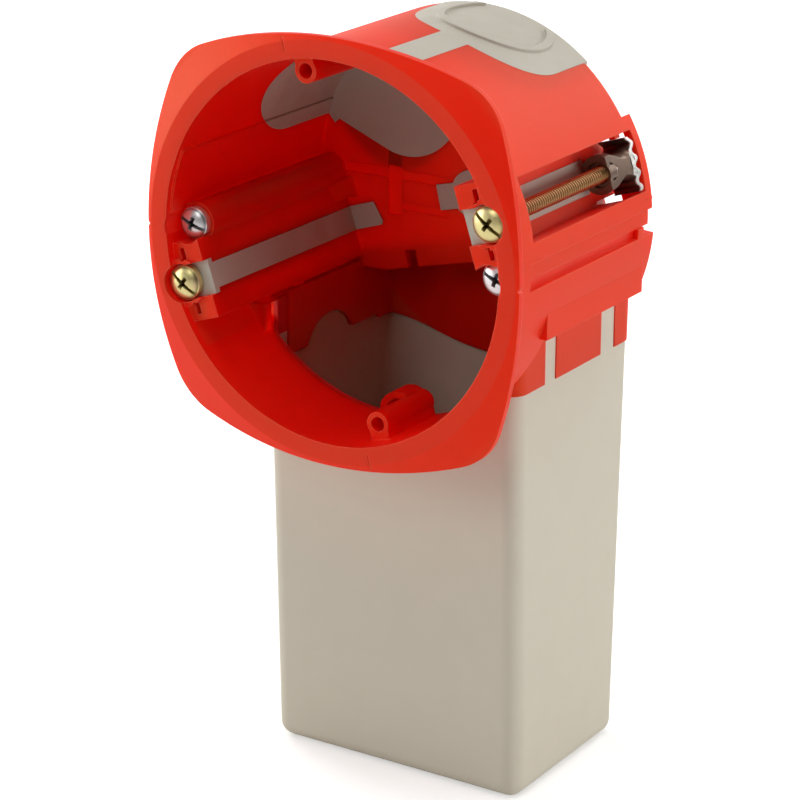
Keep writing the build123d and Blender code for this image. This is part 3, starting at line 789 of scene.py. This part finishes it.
@dataclass
class Screw:
    """Pan head screw with a combined slot and cross recess and a rolled thread."""

    label: str
    node: str
    body: str
    centre: Tuple[float, float]
    plating: Plating
    head_radius: float
    top: float
    length: float
    turn: float
    head_height: float = 2.1
    rim_height: float = 1.2
    thread_radius: float = 1.42
    core_radius: float = 1.17
    pitch: float = 0.5
    head_sides: int = 48
    thread_sides: int = 18
    crown: Tuple[float, ...] = (1.0, 0.93, 0.78, 0.55, 0.28)
    crown_power: float = 0.75
    rim_bevel: float = 0.12
    slot_width: float = 0.62
    slot_depth: float = 0.75
    cross_length: float = 3.3
    cross_width: float = 0.72
    cross_depth: float = 1.55
    cross_taper: float = 0.45
    finishes: Dict[Plating, bpy.types.Material] = field(default_factory=dict)

    def head(self) -> bpy.types.Object:
        """Model the head along +Z with its top at 0 and its underside below.

        Returns:
            The head object.
        """
        Bench.clear()
        radius = self.head_radius * MM
        height = self.head_height * MM
        bpy.ops.mesh.primitive_cylinder_add(vertices=self.head_sides, radius=radius,
                                            depth=self.rim_height * MM,
                                            location=(0, 0, -height + self.rim_height * MM / 2))
        piece = Bench.name(self.label)
        bpy.ops.object.transform_apply(location=True, rotation=True, scale=True)
        Bench.edit(piece)
        Bench.pick_faces(piece, lambda centre, normal: normal.z > 0.9)
        rise = height - self.rim_height * MM
        for before, after in zip(self.crown, self.crown[1:]):
            bpy.ops.mesh.inset(thickness=radius * (before - after), depth=0.0)
            lift = rise * ((1 - after ** 2) ** self.crown_power
                           - (1 - before ** 2) ** self.crown_power)
            bpy.ops.transform.translate(value=(0, 0, lift))
        Bench.pick_edges(piece, lambda a, b: abs(a.z + height) < TINY
                         and abs(b.z + height) < TINY and a.xy.length > radius * 0.9)
        bpy.ops.mesh.bevel(offset=self.rim_bevel * MM, segments=2)
        Bench.done()
        return piece

    def recess(self) -> bpy.types.Object:
        """Model the cutter of the slot and the tapered cross.

        Returns:
            The cutter object.
        """
        Bench.clear()
        arms: List[bpy.types.Object] = []
        above = 1.0
        sizes = ((2.2 * self.head_radius, self.slot_width, self.slot_depth, 1.0),
                 (self.cross_length, self.cross_width, self.cross_depth, self.cross_taper),
                 (self.cross_width, self.cross_length, self.cross_depth, self.cross_taper))
        for long, wide, deep, taper in sizes:
            bpy.ops.mesh.primitive_cube_add(size=1, location=(0, 0, 0))
            arm = Bench.name(self.label + "_cutter")
            arm.scale = (long * MM, wide * MM, (deep + above) * MM)
            arm.location = (0, 0, (above - deep) / 2 * MM)
            bpy.ops.object.transform_apply(location=True, rotation=True, scale=True)
            Bench.edit(arm)
            Bench.pick_faces(arm, lambda centre, normal: normal.z < -0.9)
            bpy.ops.transform.resize(value=(taper if long > wide else 1.0,
                                            taper if wide > long else 1.0, 1.0))
            Bench.done()
            arms.append(arm)
        cutter = arms[0]
        for arm in arms[1:]:
            Bench.modify(cutter, "BOOLEAN", operation="UNION", object=arm, solver="EXACT")
            bpy.data.objects.remove(arm, do_unlink=True)
        return cutter

    def shank(self) -> bpy.types.Object:
        """Model the threaded shank below the head.

        Returns:
            The shank object.
        """
        Bench.clear()
        turns = int(self.length / self.pitch)
        bottom = -(self.head_height + turns * self.pitch) * MM
        bpy.ops.mesh.primitive_plane_add(size=self.pitch * MM, location=(0, 0, 0))
        piece = Bench.name(self.label + "_shank")
        Bench.edit(piece)
        bpy.ops.mesh.select_all(action="SELECT")
        bpy.ops.mesh.delete(type="ONLY_FACE")
        Bench.pick_edges(piece, lambda a, b: abs(a.x - b.x) > 1e-9 or a.x > 0)
        bpy.ops.mesh.delete(type="EDGE")
        Bench.pick_edges(piece, lambda a, b: True)
        bpy.ops.mesh.subdivide(number_cuts=3)
        Bench.done()
        stations = (self.core_radius, self.core_radius + 0.1, self.thread_radius,
                    self.thread_radius, self.core_radius)
        rows = sorted(piece.data.vertices, key=lambda vertex: vertex.co.y)
        for index, vertex in enumerate(rows):
            vertex.co = Vector((stations[index] * MM, 0.0,
                                bottom + index * self.pitch * MM / (len(rows) - 1)))
        Bench.modify(piece, "SCREW", axis="Z", angle=2 * math.pi,
                     screw_offset=self.pitch * MM, iterations=turns,
                     steps=self.thread_sides, render_steps=self.thread_sides,
                     use_merge_vertices=True, merge_threshold=TINY)
        Bench.edit(piece)
        bpy.ops.mesh.select_all(action="SELECT")
        bpy.ops.mesh.remove_doubles(threshold=TINY)
        bpy.ops.mesh.select_all(action="DESELECT")
        bpy.ops.mesh.select_mode(type="EDGE")
        bpy.ops.mesh.select_non_manifold()
        bpy.ops.mesh.fill()
        bpy.ops.mesh.select_all(action="SELECT")
        bpy.ops.mesh.normals_make_consistent(inside=False)
        Bench.done()
        return piece

    def note_grooves(self, piece: bpy.types.Object) -> None:
        """Store how deep each point lies in the recess or the thread, from 0 to 1, to paint
        shade there.

        Args:
            piece: Screw with its top at 0 and its axis along Z.
        """
        groove_shade = piece.data.attributes.new("groove_shade", "FLOAT", "POINT")
        under = -self.head_height * MM
        inner = self.head_radius * MM * 0.97
        thread_fall, recess_fall = 0.28 * MM, 0.35 * MM
        crown_sink, crown_fall, flat_share = 0.22 * MM, 0.9 * MM, 0.6
        for vertex, value in zip(piece.data.vertices, groove_shade.data):
            radius = vertex.co.xy.length
            if vertex.co.z < under - TINY:
                fall = (self.thread_radius * MM - radius) / thread_fall
                value.value = min(max(fall, 0.0), 1.0)
            elif radius < inner:
                out = max(radius / self.head_radius / MM - flat_share, 0)
                crown = -crown_sink - crown_fall * out
                value.value = min(max((crown - vertex.co.z) / recess_fall, 0.0), 1.0)

    def build(self) -> bpy.types.Object:
        """Model the whole screw, dress it and put it in its place.

        Returns:
            The screw object.
        """
        piece = self.head()
        Bench.cut(piece, self.recess())
        Bench.outward(piece)
        Bench.settle(piece, Matrix.Rotation(math.radians(self.turn), 4, "Z"))
        Bench.fuse(piece, [self.shank()])
        self.note_grooves(piece)
        x, z = self.centre
        place = Matrix.Translation((x * MM, self.top * MM, z * MM))
        face_room = Matrix.Rotation(math.radians(90), 4, "X")
        Bench.settle(piece, place @ face_room)
        Bench.smooth(piece)
        piece.data.materials.clear()
        piece.data.materials.append(self.finishes[self.plating])
        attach(piece, self.body)
        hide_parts(self.node)
        log.info("%s: %d faces", piece.name, len(piece.data.polygons))
        return piece


@dataclass(frozen=True)
class SoftLight:
    """Square light that faces the object."""

    label: str
    place: Point
    size: float
    power: float
    target: Point = (0.0, 0.02, -0.03)

    def build(self) -> bpy.types.Object:
        """Make the light.

        Returns:
            The light object.
        """
        data = bpy.data.lights.new(self.label, "AREA")
        data.size = self.size
        data.energy = self.power
        light = bpy.data.objects.new(self.label, data)
        bpy.context.scene.collection.objects.link(light)
        light.location = self.place
        aim = Vector(self.target) - Vector(self.place)
        light.rotation_euler = aim.to_track_quat("-Z", "Y").to_euler()
        return light


LIGHTS = (
    SoftLight("top_light", (0.1, -0.05, 0.75), 0.7, 4.0),
    SoftLight("left_light", (-0.75, -0.35, 0.02), 0.6, 4.2),
    SoftLight("front_light", (-0.1, -0.75, 0.45), 0.35, 1.05),
    SoftLight("side_light", (0.95, 0.22, 0.02), 0.6, 5.4),
    SoftLight("back_light", (0.2, 0.9, 0.35), 0.6, 2.6),
    SoftLight("rim_light", (-0.8, 0.4, 0.35), 0.5, 5.5),
)


@dataclass
class Studio:
    """Pale floor, soft lights and the camera at the photograph's angle."""

    floor_height: float = -0.101
    camera_place: Point = (0.260955, -0.386832, 0.138259)
    turn: float = 32.518
    pitch: float = 19.268
    roll: float = 0.175
    focal: float = 2973.24
    image_width: float = 800.0
    sensor: float = 36.0
    shine_front: float = 0.09
    shine_behind: float = 0.54
    floor_size: float = 8.0
    floor_centre: float = 1.5
    floor_tone: float = 0.86
    floor_glow: float = 0.42

    def camera(self) -> bpy.types.Object:
        """Make the camera.

        Returns:
            The camera object.
        """
        data = bpy.data.cameras.new("camera")
        data.sensor_width = self.sensor
        data.lens = self.focal / self.image_width * self.sensor
        data.clip_start = 0.01
        data.clip_end = 50.0
        camera = bpy.data.objects.new("camera", data)
        bpy.context.scene.collection.objects.link(camera)
        turn, pitch, roll = (math.radians(a) for a in (self.turn, self.pitch, self.roll))
        right = Vector((math.cos(turn), math.sin(turn), 0))
        up = Vector((-math.sin(turn) * math.sin(pitch), math.cos(turn) * math.sin(pitch),
                     math.cos(pitch)))
        forward = Vector((-math.sin(turn) * math.cos(pitch), math.cos(turn) * math.cos(pitch),
                          -math.sin(pitch)))
        across = math.cos(roll) * right + math.sin(roll) * up
        upward = -math.sin(roll) * right + math.cos(roll) * up
        matrix = Matrix((across, upward, -forward)).transposed().to_4x4()
        camera.matrix_world = Matrix.Translation(self.camera_place) @ matrix
        bpy.context.scene.camera = camera
        return camera

    def world(self) -> None:
        """Room that is white in the picture and dimmer as a shiny surface sees it."""
        world = bpy.data.worlds.new("pale_room")
        world.use_nodes = True
        bpy.context.scene.world = world
        graph = Graph(world.node_tree)
        world.node_tree.nodes.clear()
        path = graph.add("ShaderNodeLightPath")
        way = graph.add("ShaderNodeTexCoord")
        split = graph.add("ShaderNodeSeparateXYZ")
        graph.join(way.outputs["Generated"], split.inputs[0])
        shine = graph.ramp(split.outputs["Y"], -0.75, 0.35, self.shine_front,
                           self.shine_behind)
        lit = graph.math("MULTIPLY", shine, path.outputs["Is Glossy Ray"])
        back = graph.add("ShaderNodeBackground")
        back.inputs["Color"].default_value = WHITE
        graph.join(graph.math("MAXIMUM", lit, path.outputs["Is Camera Ray"]),
                   back.inputs["Strength"])
        out = graph.add("ShaderNodeOutputWorld")
        graph.join(back.outputs[0], out.inputs["Surface"])

    def floor(self) -> bpy.types.Object:
        """Wide pale floor that keeps the object's shadow.

        Returns:
            The floor object.
        """
        Bench.clear()
        bpy.ops.mesh.primitive_plane_add(size=self.floor_size,
                                         location=(0, self.floor_centre, self.floor_height))
        piece = Bench.name("floor")
        bpy.ops.object.transform_apply(location=True, rotation=True, scale=True)
        made = bpy.data.materials.new("pale_floor")
        made.use_nodes = True
        made.node_tree.nodes.clear()
        graph = Graph(made.node_tree)
        matt = graph.add("ShaderNodeBsdfDiffuse")
        matt.inputs["Color"].default_value = (*(self.floor_tone,) * 3, 1.0)
        glow = graph.add("ShaderNodeEmission")
        path = graph.add("ShaderNodeLightPath")
        seen = graph.math("MULTIPLY", path.outputs["Is Camera Ray"], self.floor_glow)
        graph.join(seen, glow.inputs["Strength"])
        both = graph.add("ShaderNodeAddShader")
        graph.join(matt.outputs[0], both.inputs[0])
        graph.join(glow.outputs[0], both.inputs[1])
        out = graph.add("ShaderNodeOutputMaterial")
        graph.join(both.outputs[0], out.inputs["Surface"])
        piece.data.materials.append(made)
        return piece

    def build(self) -> None:
        """Set the whole studio."""
        self.camera()
        self.world()
        self.floor()
        for light in LIGHTS:
            light.build()
        log.info("studio set")


class Mouldings:
    """Plastic and soft pieces carried over from the frame, each with its finish."""

    def finishes(self) -> Dict[str, bpy.types.Material]:
        """Make the finish of each carried-over node.

        Returns:
            Materials by node name.
        """
        red = ShellPlastic("shell_orange_red", (0.92, 0.005, 0.002), 0.40, (1.0, 0.8, 0.25),
                           second=(0.90, 0.004, 0.002)).build()
        # The pouch's grey is set paler than the membrane's, which looks the same; the
        # difference is painted light on the pouch.
        grey = MouldedPlastic("pouch_warm_grey", (0.68, 0.625, 0.505), 0.60,
                              second=(0.672, 0.617, 0.498), lip_radius=0.0339,
                              edge_highlight=(0.68, 0.64, 0.56)).build()
        soft = MouldedPlastic("membrane_soft_grey", (0.54, 0.50, 0.42), 0.62,
                              second=(0.52, 0.48, 0.40), edge_highlight=(0.66, 0.62, 0.54),
                              grain_scale=1500.0, grain_depth=0.000015,
                              swell_scale=140.0, swell_depth=0.0006).build()
        steel = ClawSteel("claw_dark_steel", (0.17, 0.11, 0.08), 0.34).build()
        return {"box_shell": red, "electronics_pouch": grey, "cable_membrane": soft,
                "right_claw_seal": soft, "left_claw_seal": soft, "rear_seal_disc": soft,
                "right_claw": steel, "left_claw": steel}

    def build(self) -> None:
        """Dress every carried-over node."""
        for node, material in self.finishes().items():
            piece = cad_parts[node]
            piece.data.materials.clear()
            piece.data.materials.append(material)
            for slot in piece.material_slots:
                slot.material = material
            log.info("%s: dressed in %s", node, material.name)


def build_screws() -> None:
    """Build the four screws, the left ones half a turn about the tube from the right."""
    platings = {
        Plating.BRIGHT: PlatedMetal("zinc_bright", (0.90, 0.89, 0.88), 0.34,
                                    tint=(0.82, 0.82, 0.82), third=(0.78, 0.76, 0.74),
                                    groove_shade=(0.12, 0.12, 0.13),
                                    shank=(0.62, 0.61, 0.60)).build(),
        Plating.YELLOW: PlatedMetal("zinc_yellow", (0.92, 0.83, 0.36), 0.33,
                                    tint=(0.86, 0.72, 0.34), third=(0.88, 0.60, 0.38),
                                    groove_shade=(0.16, 0.11, 0.03),
                                    shank=(0.50, 0.25, 0.10)).build(),
    }
    for side in Side:
        sign = side.value
        Screw(label=f"{side.word}_device_screw_detail", node=f"{side.word}_device_screw",
              body=f"{side.word}_device_screw", centre=(sign * 30.0, 0.0),
              plating=Plating.BRIGHT, head_radius=2.75, top=3.4, length=21.0,
              turn=-20.0, finishes=platings).build()
        Screw(label=f"{side.word}_claw_screw_detail", node=f"{side.word}_claw_screw",
              body=f"{side.word}_claw_screw", centre=(sign * 29.9983, sign * 9.8049),
              plating=Plating.YELLOW, head_radius=3.05, top=0.5, length=36.9,
              turn=-35.0, core_radius=1.12, pitch=0.7, finishes=platings).build()


def main() -> None:
    """Build the studio, the mouldings and the screws."""
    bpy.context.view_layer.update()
    Studio().build()
    Mouldings().build()
    build_screws()
    bpy.context.scene.view_settings.view_transform = "Standard"
    log.info("sizes noted")


if __name__ == "__main__":
    main()
